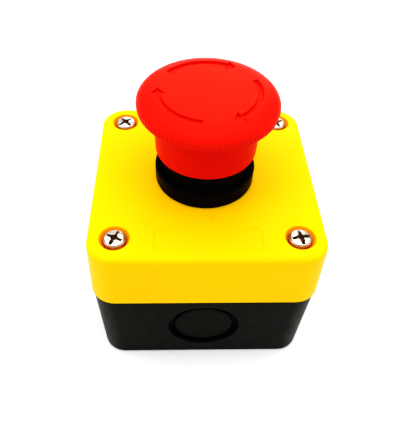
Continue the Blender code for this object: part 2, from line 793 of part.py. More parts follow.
def make_block_cover(prefix, side, material):
    """Flat side cover that closes the case, with a locating boss that enters the chamber."""
    cover = side_block(
        side, 10.05 * MM, 11.05 * MM, -BLOCK_HALF_LENGTH, BLOCK_HALF_LENGTH, BLOCK_BOTTOM, BLOCK_TOP,
        0.25 * MM,
    )
    boss = side_block(side, 9.0 * MM, 10.5 * MM, -8.9 * MM, 8.9 * MM, 24.0 * MM, 26.0 * MM)
    join(cover, boss)
    return part(cover, f"{prefix}_block_cover", material)


def make_plunger(prefix, side, shoulder):
    """Plunger: guide stem, stop flange, and a pin below the shoulder that locates the bridge."""
    top = PUSHER_END - TOUCH
    pin_end = shoulder - 4.8 * MM
    profile = [
        (0.0, top),
        (1.4 * MM, top),
        (1.8 * MM, top - 0.4 * MM),
        (1.8 * MM, 28.0 * MM),
        (2.9 * MM, 28.0 * MM),
        (2.9 * MM, 26.8 * MM),
        (1.8 * MM, 26.8 * MM),
        (1.8 * MM, shoulder),
        (0.9 * MM, shoulder),
        (0.9 * MM, pin_end),
        (0.0, pin_end),
    ]
    stem = moved(
        turned(profile, 16, closed=False), Matrix.Identity(4), (side * BLOCK_CENTRE, 0, 0)
    )
    return part(stem, f"{prefix}_plunger", "white_plastic")


def make_bridge(prefix, side, bottom, tips_up):
    """Moving bridge with a contact tip at each end, above or below the bar."""
    centre = side * BLOCK_CENTRE
    thick = 0.8 * MM
    bar = outline(
        [
            rectangle(-1.9 * MM, -7.4 * MM, 1.9 * MM, 7.4 * MM),
            circle(1.2 * MM, 12),
        ],
        thick,
        at=(centre, 0, bottom + thick / 2),
    )
    for y in (-6.0 * MM, 6.0 * MM):
        if tips_up:
            tip = rod(1.1 * MM, bottom + thick / 2, bottom + thick + 0.4 * MM, (centre, y), 12)
        else:
            tip = rod(1.1 * MM, bottom - 0.4 * MM, bottom + thick / 2, (centre, y), 12)
        join(bar, tip)
    return part(bar, f"{prefix}_bridge", "silver_alloy")


def make_strip(prefix, side, end, number, drop):
    """Fixed contact: a strip from the terminal to its contact tip, `drop` lower inside."""
    thick = STRIP_THICKNESS
    high, low = STRIP_HEIGHT, STRIP_HEIGHT - drop
    outer_end, inner_end = 15.4 * MM, 4.2 * MM
    if drop:
        bend = 8.3 * MM
        points = [
            (outer_end, high),
            (outer_end, high + thick),
            (bend, high + thick),
            (bend, low + thick),
            (inner_end, low + thick),
            (inner_end, low),
            (bend + thick, low),
            (bend + thick, high),
        ]
        tip_bottom, tip_top = low + thick / 2, low + thick + 0.4 * MM
    else:
        points = rectangle(inner_end, high, outer_end, high + thick)
        tip_bottom, tip_top = high - 0.4 * MM, high + thick / 2
    centre = side * BLOCK_CENTRE
    strip = in_yz([[(end * y, z) for y, z in points]], 5.0 * MM, centre)
    join(strip, rod(1.1 * MM, tip_bottom, tip_top, (centre, end * 6.0 * MM), 12))
    cut(strip, rod(1.75 * MM, high - MM, high + 2 * MM, (centre, end * TERMINAL_Y), 12))
    return part(strip, f"{prefix}_contact_{number}", "brass")


def make_terminal(prefix, side, end, number):
    """Square clamp plate and slotted screw of one terminal, facing down into the base."""
    centre = side * BLOCK_CENTRE
    y = end * TERMINAL_Y
    plate_top = STRIP_HEIGHT - 0.4 * MM
    half = 2.35 * MM
    plate = outline(
        [rectangle(-half, -half, half, half), circle(1.75 * MM, 12)],
        MM,
        at=(centre, y, plate_top - MM / 2),
    )
    part(plate, f"{prefix}_clamp_{number}", "plated_steel")
    head_top = plate_top - MM - TOUCH
    head_bottom = head_top - 2.2 * MM
    shank = 1.4 * MM
    profile = [
        (0.0, 24.2 * MM),
        (shank, 24.2 * MM),
        (shank, head_top),
        (2.35 * MM, head_top),
        (2.35 * MM, head_bottom + 0.5 * MM),
        (1.9 * MM, head_bottom),
        (0.0, head_bottom),
    ]
    screw = turned(profile, 12, closed=False)
    slot = block(
        (-3 * MM, -0.4 * MM, head_bottom - MM), (3 * MM, 0.4 * MM, head_bottom + 0.9 * MM)
    )
    screw = baked(cut(screw, slot))
    moved(screw, about("Z", 20 * number), (centre, y, 0))
    part(screw, f"{prefix}_terminal_screw_{number}", "plated_steel")


def make_contact_block(prefix, side, material):
    """One contact block. The nc block opens when pressed, the no block closes."""
    make_block_housing(prefix, side, material)
    make_block_cover(prefix, side, material)
    normally_closed = prefix == "nc"
    bridge_bottom = 18.1 * MM if normally_closed else STRIP_HEIGHT - 0.6 * MM
    shoulder = bridge_bottom + 0.8 * MM + TOUCH
    make_plunger(prefix, side, shoulder)
    make_bridge(prefix, side, bridge_bottom, tips_up=normally_closed)
    spring_top = bridge_bottom - TOUCH if normally_closed else bridge_bottom - 0.4 * MM
    spring = coil(2.6 * MM, 0.5 * MM, 6, 6.8 * MM, spring_top, (side * BLOCK_CENTRE, 0), 8)
    part(spring, f"{prefix}_spring", "spring_steel")
    drop = 0.0 if normally_closed else 8.0 * MM
    for number, end in enumerate((-1, 1), 1):
        make_strip(prefix, side, end, number, drop)
        make_terminal(prefix, side, end, number)


def carry(name, at, members, parent=None):
    """Parent the pieces that move together to an empty that lies on their joint's axis."""
    handle = bpy.data.objects.new(name, None)
    handle.location = at
    handle.empty_display_size = 5 * MM
    PARTS.objects.link(handle)
    bpy.context.view_layer.update()
    for member in members:
        piece = bpy.data.objects[member]
        piece.parent = handle
        piece.matrix_parent_inverse = handle.matrix_world.inverted()
    if parent:
        handle.parent = parent
        handle.matrix_parent_inverse = parent.matrix_world.inverted()
    return handle


make_base()
make_lid()
make_seal()
make_screws()
make_housing()
make_panel_fixings()
make_latch_ring()
make_collar()
make_collar_screws()
make_head()
make_spindle()
make_spindle_clip()
make_spindle_seal()
make_pusher()
make_operator_springs()
make_contact_block("nc", -1, "red_block_plastic")
make_contact_block("no", 1, "green_plastic")

# What moves together: the pusher slides down, the head slides with it and also turns, and each
# plunger slides with its bridge.
SLIDE = carry("pusher_handle", (0, 0, PUSHER_END), ["pusher", "twist_spring"])
carry(
    "head_handle",
    (0, 0, LATCH_HEIGHT),
    ["mushroom_head", "head_spindle", "spindle_clip"],
    parent=SLIDE,
)
carry("nc_handle", (-BLOCK_CENTRE, 0, BLOCK_TOP), ["nc_plunger", "nc_bridge"])
carry("no_handle", (BLOCK_CENTRE, 0, BLOCK_TOP), ["no_plunger", "no_bridge"])
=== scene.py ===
"""The looks of an emergency stop station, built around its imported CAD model.

The frame is the CAD model's: metres, +Z up, the button's axis on Z, the front knock-out
facing -Y. Every CAD node gets a finer piece that stands for it: the outer and the round ones
are built here again with fine edges, ribs and recesses, and the others are the CAD shape with
rounded edges. Lengths are in millimetres times MM.
"""

import json
import math
import random

import bmesh
import bpy
from mathutils import Matrix, Vector

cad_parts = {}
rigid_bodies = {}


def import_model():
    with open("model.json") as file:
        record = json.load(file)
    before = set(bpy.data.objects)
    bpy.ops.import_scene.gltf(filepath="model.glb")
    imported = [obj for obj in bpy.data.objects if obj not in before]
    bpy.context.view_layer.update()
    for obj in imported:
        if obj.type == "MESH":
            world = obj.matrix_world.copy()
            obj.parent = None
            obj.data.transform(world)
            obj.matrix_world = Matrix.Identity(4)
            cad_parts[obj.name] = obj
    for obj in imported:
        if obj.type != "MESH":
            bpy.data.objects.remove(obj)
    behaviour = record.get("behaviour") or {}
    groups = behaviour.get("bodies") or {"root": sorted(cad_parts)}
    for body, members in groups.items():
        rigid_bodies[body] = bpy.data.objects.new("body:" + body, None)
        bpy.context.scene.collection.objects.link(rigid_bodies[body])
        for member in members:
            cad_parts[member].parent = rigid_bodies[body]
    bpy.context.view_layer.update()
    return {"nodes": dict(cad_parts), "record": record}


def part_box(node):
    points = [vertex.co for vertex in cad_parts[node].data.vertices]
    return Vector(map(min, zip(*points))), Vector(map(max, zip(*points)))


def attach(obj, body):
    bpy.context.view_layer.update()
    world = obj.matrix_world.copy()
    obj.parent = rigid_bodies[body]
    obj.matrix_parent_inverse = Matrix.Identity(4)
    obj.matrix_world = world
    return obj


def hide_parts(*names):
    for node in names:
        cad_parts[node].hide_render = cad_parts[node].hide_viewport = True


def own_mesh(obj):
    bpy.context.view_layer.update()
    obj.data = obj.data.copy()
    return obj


MM = 0.001
SAME_POINT = 0.002 * MM

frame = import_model()

# Sizes, the outer ones read from the frame -----------------------------------------------
LID_LOW, LID_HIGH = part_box("enclosure_lid")
BASE_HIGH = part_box("enclosure_base")[1]
HEAD_LOW, HEAD_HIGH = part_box("mushroom_head")
HOUSING_LOW, HOUSING_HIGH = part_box("operator_housing")
SCREW_LOW, SCREW_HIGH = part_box("lid_screw_3")

SEAM = LID_LOW.z
LID_TOP = LID_HIGH.z
BUTTON_HOLE = 11.25 * MM
LID_HALF_AT_SEAM = LID_HIGH.x
LID_HALF_AT_TOP = LID_HALF_AT_SEAM - 0.7 * MM
BASE_RIM = BASE_HIGH.z
BASE_HALF_AT_TOP = BASE_HIGH.x
BASE_HALF_AT_BOTTOM = BASE_HALF_AT_TOP - 0.65 * MM
CORNER_RADIUS = 7.7 * MM
WALL = 3.0 * MM
LID_EDGE = 1.9 * MM
BASE_EDGE = 1.0 * MM

SCREW_X = (SCREW_LOW.x + SCREW_HIGH.x) / 2
SCREW_RADIUS = (SCREW_HIGH.x - SCREW_LOW.x) / 2
SCREW_TOP = SCREW_HIGH.z
SCREW_TIP = SCREW_LOW.z
SCREW_TURNS = (-23, 11, 20, 43)
SHANK_RADIUS = 1.75 * MM
WELL_RADIUS = 4.2 * MM
WELL_FOOT_RADIUS = 3.6 * MM
WELL_DEPTH = 3.0 * MM
PILLAR_RADIUS = 6.2 * MM
CORNERS = [(sx * SCREW_X, sy * SCREW_X) for sx, sy in ((-1, -1), (1, -1), (1, 1), (-1, 1))]

HEAD_RADIUS = HEAD_HIGH.x
HEAD_TOP = HEAD_HIGH.z
COLLAR_END = HEAD_LOW.z
HEAD_FLAT_RADIUS = 14.5 * MM
HEAD_PARTING = HEAD_TOP - 3.5 * MM
HEAD_RIM = HEAD_PARTING - 1.1 * MM
COLLAR_TOP_RADIUS = 15.4 * MM
COLLAR_END_RADIUS = 15.0 * MM
RIBS = 92
RIB_ROOT = HEAD_RADIUS - 0.21 * MM
ARROW_RADIUS = 14.0 * MM
ARROW_TAILS = (21, 141, 261)
ARROW_SWEEP = 86

BEZEL_RADIUS = HOUSING_HIGH.x
BEZEL_TOP = LID_TOP + 5.4 * MM
SLEEVE_RADIUS = 13.3 * MM
SLEEVE_TOP = HOUSING_HIGH.z
BARREL_RADIUS = 11.0 * MM
BARREL_END = HOUSING_LOW.z
BARREL_BORE = 8.6 * MM
THREAD_PITCH = 1.5 * MM
THREAD_TOP = BARREL_END + 12.0 * MM
LATCH_HEIGHT = 58.0 * MM
SPINDLE_BORE = 5.8 * MM
PRESS_TRAVEL = 5.5 * MM


# Mesh helpers ----------------------------------------------------------------------------
def rounded(points, closed=False, steps=6):
    """A path in 2D through (x, y, radius) corners, each rounded by an arc of its radius.

    steps is the number of pieces in each arc.
    """
    path = []
    for index, (x, y, radius) in enumerate(points):
        corner = Vector((x, y))
        if not radius or (not closed and index in (0, len(points) - 1)):
            path.append(corner)
            continue
        before = (Vector(points[index - 1][:2]) - corner).normalized()
        after = (Vector(points[(index + 1) % len(points)][:2]) - corner).normalized()
        half = before.angle(after) / 2
        centre = corner + (before + after).normalized() * radius / math.sin(half)
        start = corner + before * radius / math.tan(half) - centre
        stop = corner + after * radius / math.tan(half) - centre
        first = math.atan2(start.y, start.x)
        sweep = math.remainder(math.atan2(stop.y, stop.x) - first, 2 * math.pi)
        for step in range(steps + 1):
            angle = first + sweep * step / steps
            path.append(centre + radius * Vector((math.cos(angle), math.sin(angle))))
    return path


def solid(bm, name="tool"):
    """Link a bmesh as an object, its faces turned outwards."""
    bmesh.ops.recalc_face_normals(bm, faces=bm.faces)
    mesh = bpy.data.meshes.new(name)
    bm.to_mesh(mesh)
    bm.free()
    made = bpy.data.objects.new(name, mesh)
    bpy.context.scene.collection.objects.link(made)
    return made


def lathe(path, segments, closed=False, shape=None):
    """Turn a path of (radius, height) about Z. An open path is capped at both ends.

    shape(radius, height, angle) may give another radius at each point.
    """
    bm = bmesh.new()
    rings = []
    for radius, height in path:
        ring = []
        for step in range(segments):
            angle = 2 * math.pi * step / segments
            here = shape(radius, height, angle) if shape else radius
            ring.append(bm.verts.new((here * math.cos(angle), here * math.sin(angle), height)))
        rings.append(ring)
    return solid(skinned(bm, rings, closed))


def skinned(bm, rings, closed=False):
    """Faces between each ring of vertices and the next, with end caps on an open run."""
    pairs = list(zip(rings, rings[1:]))
    if closed:
        pairs.append((rings[-1], rings[0]))
    else:
        bm.faces.new(rings[0])
        bm.faces.new(rings[-1])
    for one, two in pairs:
        for index in range(len(one)):
            after = (index + 1) % len(one)
            bm.faces.new((one[index], one[after], two[after], two[index]))
    return bm


def loft(loops):
    """A closed skin over loops of 3D points that have the same number of points."""
    bm = bmesh.new()
    rings = [[bm.verts.new(point) for point in loop] for loop in loops]
    return solid(skinned(bm, rings))


def square_loop(half, corner, height):
    """A square with rounded corners, level at a height."""
    corners = [(half, half), (-half, half), (-half, -half), (half, -half)]
    path = rounded([(x, y, corner) for x, y in corners], closed=True, steps=10)
    return [(x, y, height) for x, y in path]


def offset_loop(points, distance):
    """A closed outline in plan moved outwards, its points given anticlockwise.

    At a sharp corner the point moves by no more than about three times the distance.
    """
    least = 0.35
    moved = []
    for index, point in enumerate(points):
        before = Vector(points[index - 1])
        here = Vector(point)
        after = Vector(points[(index + 1) % len(points)])
        one = (here - before).normalized()
        two = (after - here).normalized()
        normal = Vector((one.y + two.y, -one.x - two.x)).normalized()
        reach = distance / max(least, normal.dot(Vector((one.y, -one.x))))
        moved.append(tuple(here + normal * reach))
    return moved


def sunk_shape(points, depth, surface):
    """A cutter for a shallow recess with sloping walls, a soft lip and a rounded foot."""
    lip, draft = 0.10 * MM, 0.06 * MM
    steps = (
        (-depth, -draft - lip / 2),
        (-depth + lip / 2, -draft),
        (-lip, 0.0),
        (-lip / 3, lip / 3),
        (0.0, lip),
        (lip, 3 * lip),
    )
    return loft(
        [[(x, y, surface + rise) for x, y in offset_loop(points, out)] for rise, out in steps]
    )


def box(low, high):
    """A rectangular cutter or block."""
    (x0, y0, z0), (x1, y1, z1) = low, high
    plan = [(x0, y0), (x1, y0), (x1, y1), (x0, y1)]
    return loft([[(x, y, z) for x, y in plan] for z in (z0, z1)])


def combine(target, operation, tools):
    """One exact Boolean of the target with all the tools, which are used up."""
    group = bpy.data.collections.new("tools")
    bpy.context.scene.collection.children.link(group)
    for tool in tools:
        group.objects.link(tool)
    modifier = target.modifiers.new("boolean", "BOOLEAN")
    modifier.operation = operation
    modifier.solver = "EXACT"
    modifier.operand_type = "COLLECTION"
    modifier.collection = group
    bpy.context.view_layer.update()
    evaluated = target.evaluated_get(bpy.context.evaluated_depsgraph_get())
    mesh = bpy.data.meshes.new_from_object(evaluated)
    target.modifiers.clear()
    target.data = mesh
    for tool in tools:
        bpy.data.objects.remove(tool, do_unlink=True)
    bpy.data.collections.remove(group)
    return target


def without_slivers(bm):
    """Merge points that coincide and remove faces with no area."""
    bmesh.ops.remove_doubles(bm, verts=bm.verts, dist=SAME_POINT)
    bmesh.ops.dissolve_degenerate(bm, dist=SAME_POINT, edges=bm.edges)
    return bm


def cleaned(thing):
    """Clear a piece's mesh of the slivers that Booleans leave."""
    bm = bmesh.new()
    bm.from_mesh(thing.data)
    without_slivers(bm).to_mesh(thing.data)
    bm.free()


def mark(thing, name, inside):
    """Store a 1 on the faces whose centres are inside a region, and a 0 on the others."""
    attribute = thing.data.attributes.new(name, "FLOAT", "FACE")
    for face in thing.data.polygons:
        attribute.data[face.index].value = 1.0 if inside(face.center) else 0.0


def placed(thing, at=(0, 0, 0), turn=None):
    """Turn an object's mesh about the origin, then shift it."""
    thing.data.transform(Matrix.Translation(at) @ (turn or Matrix.Identity(4)))
    return thing


def middle(low, high):
    """The middle of a box in plan."""
    return ((low.x + high.x) / 2, (low.y + high.y) / 2)


def about(axis, degrees):
    """A rotation about a named axis."""
    return Matrix.Rotation(math.radians(degrees), 4, axis)


def shade(thing, sharp=30):
    """Smooth shading with crisp edges over an angle, weighted so that flat faces stay flat."""
    thing.data.shade_smooth()
    thing.data.set_sharp_from_angle(angle=math.radians(sharp))
    weighted = thing.modifiers.new("weighted", "WEIGHTED_NORMAL")
    weighted.mode = "FACE_AREA"
    weighted.weight = 100
    weighted.keep_sharp = True


def piece(thing, name, slot, body, node, finish=None):
    """Name a finished piece, give it its finish and slot, and let it ride on its body.

    It stands for one CAD node. finish is a look other than the slot's own.
    """
    thing.name = name
    thing.data.name = name
    thing.data.materials.clear()
    thing.data.materials.append(material(finish or slot))
    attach(thing, body)
    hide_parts(node)


# Materials -------------------------------------------------------------------------------
def new_material(name):
    """An empty material: its node tree, its shader and its object coordinates."""
    made = bpy.data.materials.new(name)
    made.use_nodes = True
    tree = made.node_tree
    place = tree.nodes.new("ShaderNodeTexCoord").outputs["Object"]
    return made, tree, tree.nodes["Principled BSDF"], place


def noise(tree, place, scale, detail, stretch=(1, 1, 1)):
    """A noise value. scale is in features per metre, stretch draws it out along an axis."""
    if stretch != (1, 1, 1):
        mapping = tree.nodes.new("ShaderNodeMapping")
        mapping.inputs["Scale"].default_value = stretch
        tree.links.new(place, mapping.inputs["Vector"])
        place = mapping.outputs["Vector"]
    texture = tree.nodes.new("ShaderNodeTexNoise")
    texture.inputs["Scale"].default_value = scale
    texture.inputs["Detail"].default_value = detail
    tree.links.new(place, texture.inputs["Vector"])
    return texture.outputs["Fac"]


def spread(tree, value, low, high, start=0.3, end=0.7):
    """Map a noise value from start..end to low..high."""
    node = tree.nodes.new("ShaderNodeMapRange")
    for key, number in (("From Min", start), ("From Max", end), ("To Min", low), ("To Max", high)):
        node.inputs[key].default_value = number
    tree.links.new(value, node.inputs["Value"])
    return node.outputs["Result"]


def two_tones(tree, value, first, second, start=0.35, end=0.65):
    """Blend from one colour to another as a value rises."""
    ramp = tree.nodes.new("ShaderNodeValToRGB")
    ramp.color_ramp.elements[0].position = start
    ramp.color_ramp.elements[0].color = (*first, 1)
    ramp.color_ramp.elements[1].position = end
    ramp.color_ramp.elements[1].color = (*second, 1)
    tree.links.new(value, ramp.inputs["Fac"])
    return ramp.outputs["Color"]


def bump(tree, shader, layers):
    """Stack bumps from (value, strength, height in metres) layers."""
    normal = None
    for value, strength, height in layers:
        node = tree.nodes.new("ShaderNodeBump")
        node.inputs["Strength"].default_value = strength
        node.inputs["Distance"].default_value = height
        tree.links.new(value, node.inputs["Height"])
        if normal is not None:
            tree.links.new(normal, node.inputs["Normal"])
        normal = node.outputs["Normal"]
    tree.links.new(normal, shader.inputs["Normal"])


def tinted(colour, share):
    """The colour made darker or lighter by a share."""
    return tuple(min(1.0, channel * share) for channel in colour)


def marked(tree, name):
    """The value of a face mark, 0 where a piece has none."""
    node = tree.nodes.new("ShaderNodeAttribute")
    node.attribute_name = name
    return node.outputs["Fac"]


def blended(tree, share, first, second):
    """Mix from one colour (a socket) to another (numbers) by a share."""
    node = tree.nodes.new("ShaderNodeMix")
    node.data_type = "RGBA"
    tree.links.new(share, node.inputs["Factor"])
    tree.links.new(first, node.inputs["A"])
    node.inputs["B"].default_value = (*second, 1)
    return node.outputs["Result"]


def moulded(name, colour, roughness, specular, grain, pocket=None, streak=0.04):
    """Moulded plastic: flow marks in the colour, a fine grain, small polished rubs.

    The argument after grain, if given, is a deeper colour painted as shade on the faces marked as
    inside a screw well, and streak is how far the flow marks change the colour.
    """
    made, tree, shader, place = new_material(name)
    flow = noise(tree, place, 45, 4.0, (1, 1, 2.5))
    tones = two_tones(tree, flow, tinted(colour, 1 - streak), tinted(colour, 1 + streak))
    # Painted shade: the faces marked inside the screw wells take the deeper colour.
    if pocket:
        tones = blended(tree, marked(tree, "pocket"), tones, pocket)
    tree.links.new(tones, shader.inputs["Base Color"])
    rubs = noise(tree, place, 260, 5.0, (1, 4, 1))
    tree.links.new(
        spread(tree, rubs, roughness - 0.03, roughness + 0.04), shader.inputs["Roughness"]
    )
    fine = noise(tree, place, 3800, 2.0)
    slow = noise(tree, place, 90, 1.0)
    bump(tree, shader, [(slow, 0.04, 0.10 * MM), (fine, 0.35 * grain, 0.012 * MM)])
    shader.inputs["Specular IOR Level"].default_value = specular
    return made


def metal(name, colour, roughness):
    """Drawn or plated metal: brushed streaks, small tarnish spots, and a dark brown, less metallic
    colour painted as shade where marked.
    """
    made, tree, shader, place = new_material(name)
    stain = noise(tree, place, 1400, 4.0)
    tones = two_tones(tree, stain, tinted(colour, 0.5), colour, 0.34, 0.44)
    # Painted shade: the faces marked inside a cross recess turn dark brown and less metallic.
    grime = marked(tree, "grime")
    tones = blended(tree, grime, tones, (0.110, 0.066, 0.034))
    tree.links.new(tones, shader.inputs["Base Color"])
    tree.links.new(spread(tree, grime, 1.0, 0.3, 0.0, 1.0), shader.inputs["Metallic"])
    streaks = noise(tree, place, 2400, 4.0, (1, 1, 9))
    tree.links.new(
        spread(tree, streaks, roughness - 0.08, roughness + 0.12), shader.inputs["Roughness"]
    )
    bump(tree, shader, [(streaks, 0.15, 0.01 * MM), (stain, 0.2, 0.02 * MM)])
    return made


def rubber(name, colour):
    """Black rubber: dull, slightly bloomed, with a soft pebbled skin."""
    made, tree, shader, place = new_material(name)
    bloom = noise(tree, place, 220, 5.0)
    tones = two_tones(tree, bloom, colour, tinted(colour, 2.2), 0.45, 0.75)
    tree.links.new(tones, shader.inputs["Base Color"])
    tree.links.new(spread(tree, bloom, 0.70, 0.90), shader.inputs["Roughness"])
    bump(tree, shader, [(noise(tree, place, 1800, 3.0), 0.5, 0.04 * MM)])
    shader.inputs["Specular IOR Level"].default_value = 0.25
    return made


# Colour, roughness, specular level and grain, and for the yellow also the deeper orange painted as
# shade inside the screw wells and the strength of the flow marks.
PLASTICS = {
    "yellow_plastic": ((0.78, 0.446, 0.0), 0.42, 0.045, 0.4, (0.88, 0.26, 0.0), 0.02),
    "black_plastic": ((0.0052, 0.0054, 0.0030), 0.48, 0.09, 1.0),
    "satin_black": ((0.006, 0.005, 0.004), 0.40, 0.04, 0.5),
    "red_plastic": ((0.57, 0.0130, 0.0048), 0.42, 0.035, 0.4),
    "grey_plastic": ((0.30, 0.31, 0.32), 0.50, 0.40, 0.5),
    "white_plastic": ((0.78, 0.78, 0.73), 0.45, 0.40, 0.5),
    "green_plastic": ((0.02, 0.30, 0.08), 0.45, 0.40, 0.5),
    "red_block_plastic": ((0.50, 0.018, 0.018), 0.45, 0.40, 0.5),
}
# Colour and roughness
METALS = {
    "plated_steel": ((0.64, 0.57, 0.49), 0.28),
    "spring_steel": ((0.55, 0.56, 0.57), 0.32),
    "brass": ((0.80, 0.58, 0.24), 0.30),
    "silver_alloy": ((0.88, 0.87, 0.84), 0.22),
}
# Colour
RUBBERS = {
    "black_rubber": ((0.014, 0.014, 0.014),),
}


def material(finish):
    """The material of a finish, made the first time it is asked for."""
    if finish not in bpy.data.materials or "finished" not in bpy.data.materials[finish]:
        for imported in [m for m in bpy.data.materials if m.name == finish]:
            imported.name = f"{finish}_cad"
        for make, looks in ((moulded, PLASTICS), (metal, METALS), (rubber, RUBBERS)):
            if finish in looks:
                make(finish, *looks[finish])["finished"] = True
    return bpy.data.materials[finish]


# Enclosure -------------------------------------------------------------------------------
def knockout_cutter(side, face, height):
    """The groove around a cable knock-out and the sunk disc inside it, on one side."""
    groove, disc, lip = 11.4 * MM, 9.4 * MM, 0.18 * MM
    groove_depth, disc_depth, draft = 2.0 * MM, 0.9 * MM, 0.15 * MM
    path = rounded(
        [
            (groove + 2 * lip, 2 * MM, 0),
            (groove + 2 * lip, lip, 0),
            (groove, -lip, 0.4 * lip),
            (groove - draft, -groove_depth, 0.25 * MM),
            (disc + draft, -groove_depth, 0.25 * MM),
            (disc, -disc_depth, 0.3 * MM),
            (disc - 1.6 * MM, -disc_depth, 0),
        ],
        steps=4,
    )
    return placed(lathe(path, 160), (0, side * face, height), about("X", -90 * side))


def seal_band(half, width, bottom, top, corner):
    """A square ring that follows the rim."""
    ring = loft([square_loop(half + width / 2, corner + width / 2, z) for z in (bottom, top)])
    hole = loft(
        [
            square_loop(half - width / 2, corner - width / 2, z)
            for z in (bottom - MM, top + MM)
        ]
    )
    return combine(ring, "DIFFERENCE", [hole])


def slot_loop(x, radius, half_length, height):
    """The outline of a wall slot with round ends, long in Y."""
    corners = [
        (x + radius, half_length + radius),
        (x - radius, half_length + radius),
        (x - radius, -half_length - radius),
        (x + radius, -half_length - radius),
    ]
    path = rounded([(a, b, 0.999 * radius) for a, b in corners], closed=True, steps=16)
    return [(a, b, height) for a, b in path]


def side_loops(half_low, low, half_high, high, steps, low_edge, high_edge):
    """Loops up a drafted box's sides, with rounded rims at its foot and top.

    The upright corners get tighter where the rims draw in.
    """
    reach = max(low_edge, high_edge) * 2 + CORNER_RADIUS
    path = rounded(
        [
            (half_low - reach, low, 0),
            (half_low, low, low_edge),
            (half_high, high, high_edge),
            (half_high - reach, high, 0),
        ],
        steps=steps,
    )
    return [
        square_loop(half, CORNER_RADIUS - max(0.0, half_high - half) * 0.75, height)
        for half, height in path[1:-1]
    ]


def build_base():
    """Black lower shell with its pillars, seal groove, knock-outs and wall slots."""
    rim_edge, floor = 0.25 * MM, 2.8 * MM
    shell = loft(
        side_loops(BASE_HALF_AT_BOTTOM, 0.0, BASE_HALF_AT_TOP, BASE_RIM, 6, BASE_EDGE, rim_edge)
    )
    inner_corner = CORNER_RADIUS - WALL
    hollow = loft(
        [
            square_loop(BASE_HALF_AT_BOTTOM - WALL, inner_corner, floor),
            square_loop(BASE_HALF_AT_TOP - WALL - 0.3 * MM, inner_corner, BASE_RIM + 2 * MM),
        ]
    )
    combine(shell, "DIFFERENCE", [hollow])
    pillar = rounded([(PILLAR_RADIUS, 1.5 * MM, 0), (PILLAR_RADIUS, BASE_RIM - 0.4 * MM, 0)])
    combine(shell, "UNION", [placed(lathe(pillar, 48), (*at, 0)) for at in CORNERS])
    tools = []
    pilot, pilot_end = SHANK_RADIUS + 0.3 * MM, 16 * MM
    for at in CORNERS:
        tools.append(placed(lathe([(pilot, pilot_end), (pilot, SEAM + MM)], 32), (*at, 0)))
    groove_half, groove_width, groove_corner = 33.0 * MM, 1.5 * MM, 6.0 * MM
    groove_bottom = SEAM - 1.9 * MM
    tools.append(seal_band(groove_half, groove_width, groove_bottom, SEAM + MM, groove_corner))
    knock_height = 17.8 * MM
    lean = (BASE_HALF_AT_TOP - BASE_HALF_AT_BOTTOM) * knock_height / SEAM
    for side in (-1, 1):
        tools.append(knockout_cutter(side, BASE_HALF_AT_BOTTOM + lean, knock_height))
    through, recess, length = 2.5 * MM, 4.4 * MM, 2.2 * MM
    for x in (-22 * MM, 22 * MM):
        tools.append(loft([slot_loop(x, through, length, z) for z in (-MM, 4 * MM)]))
        tools.append(loft([slot_loop(x, recess, length, z) for z in (2.0 * MM, 5 * MM)]))
    combine(shell, "DIFFERENCE", tools)
    shade(shell)
    piece(shell, "base_shell", "black_plastic", "enclosure", "enclosure_base")


def well_cutter(at):
    """A screw well that widens to a soft lip, and the screw's clearance hole."""
    floor = LID_TOP - WELL_DEPTH
    clearance = SHANK_RADIUS + 0.3 * MM
    lip = 0.22 * MM
    path = rounded(
        [
            (clearance, SEAM - MM, 0),
            (clearance, floor, 0.1 * MM),
            (WELL_FOOT_RADIUS, floor, 0.1 * MM),
            (WELL_FOOT_RADIUS, LID_TOP - 1.8 * MM, 0.5 * MM),
            (WELL_RADIUS, LID_TOP - lip, lip),
            (WELL_RADIUS + lip, LID_TOP, 0),
            (WELL_RADIUS + 3 * lip, LID_TOP + MM, 0),
        ],
        steps=5,
    )
    return placed(lathe(path, 96), (*at, 0))


def build_lid():
    """Yellow upper shell with the button hole, screw wells and the shallow label field."""
    seam_edge = 0.50 * MM
    shell = loft(
        side_loops(LID_HALF_AT_SEAM, SEAM, LID_HALF_AT_TOP, LID_TOP, 10, seam_edge, LID_EDGE)
    )
    ceiling = LID_TOP - WALL
    hollow = loft(
        [
            square_loop(LID_HALF_AT_SEAM - 2.8 * MM, CORNER_RADIUS - WALL, SEAM - MM),
            square_loop(LID_HALF_AT_TOP - WALL, CORNER_RADIUS - WALL, ceiling),
        ]
    )
    combine(shell, "DIFFERENCE", [hollow])
    pillar = [(PILLAR_RADIUS, SEAM + 0.4 * MM), (PILLAR_RADIUS, ceiling + MM)]
    combine(shell, "UNION", [placed(lathe(pillar, 48), (*at, 0)) for at in CORNERS])
    tools = [well_cutter(at) for at in CORNERS]
    tools.append(lathe([(BUTTON_HOLE, ceiling - MM), (BUTTON_HOLE, LID_TOP + MM)], 128))
    keyway = box((-1.6 * MM, 10 * MM, ceiling - MM), (1.6 * MM, 12.4 * MM, LID_TOP + 2 * MM))
    tools.append(keyway)
    left, right, front, back = -15.3 * MM, 15.6 * MM, -31.0 * MM, -22.9 * MM
    corners = [(right, back), (left, back), (left, front), (right, front)]
    outline = rounded([(x, y, 1.0 * MM) for x, y in corners], closed=True)
    label_depth = 0.22 * MM
    tools.append(sunk_shape([tuple(point) for point in outline], label_depth, LID_TOP))
    tick = box((1.72 * MM, -19.6 * MM, LID_TOP - 0.2 * MM), (1.98 * MM, -18 * MM, LID_TOP + MM))
    tools.append(tick)
    combine(shell, "DIFFERENCE", tools)

    def in_a_well(centre):
        away = math.hypot(abs(centre.x) - SCREW_X, abs(centre.y) - SCREW_X)
        return away < WELL_RADIUS + 0.2 * MM and ceiling - MM < centre.z < LID_TOP - 0.06 * MM

    # Mark the faces inside the screw wells, where a deeper orange is painted as shade.
    mark(shell, "pocket", in_a_well)
    shade(shell)
    piece(shell, "lid_shell", "yellow_plastic", "enclosure", "enclosure_lid")


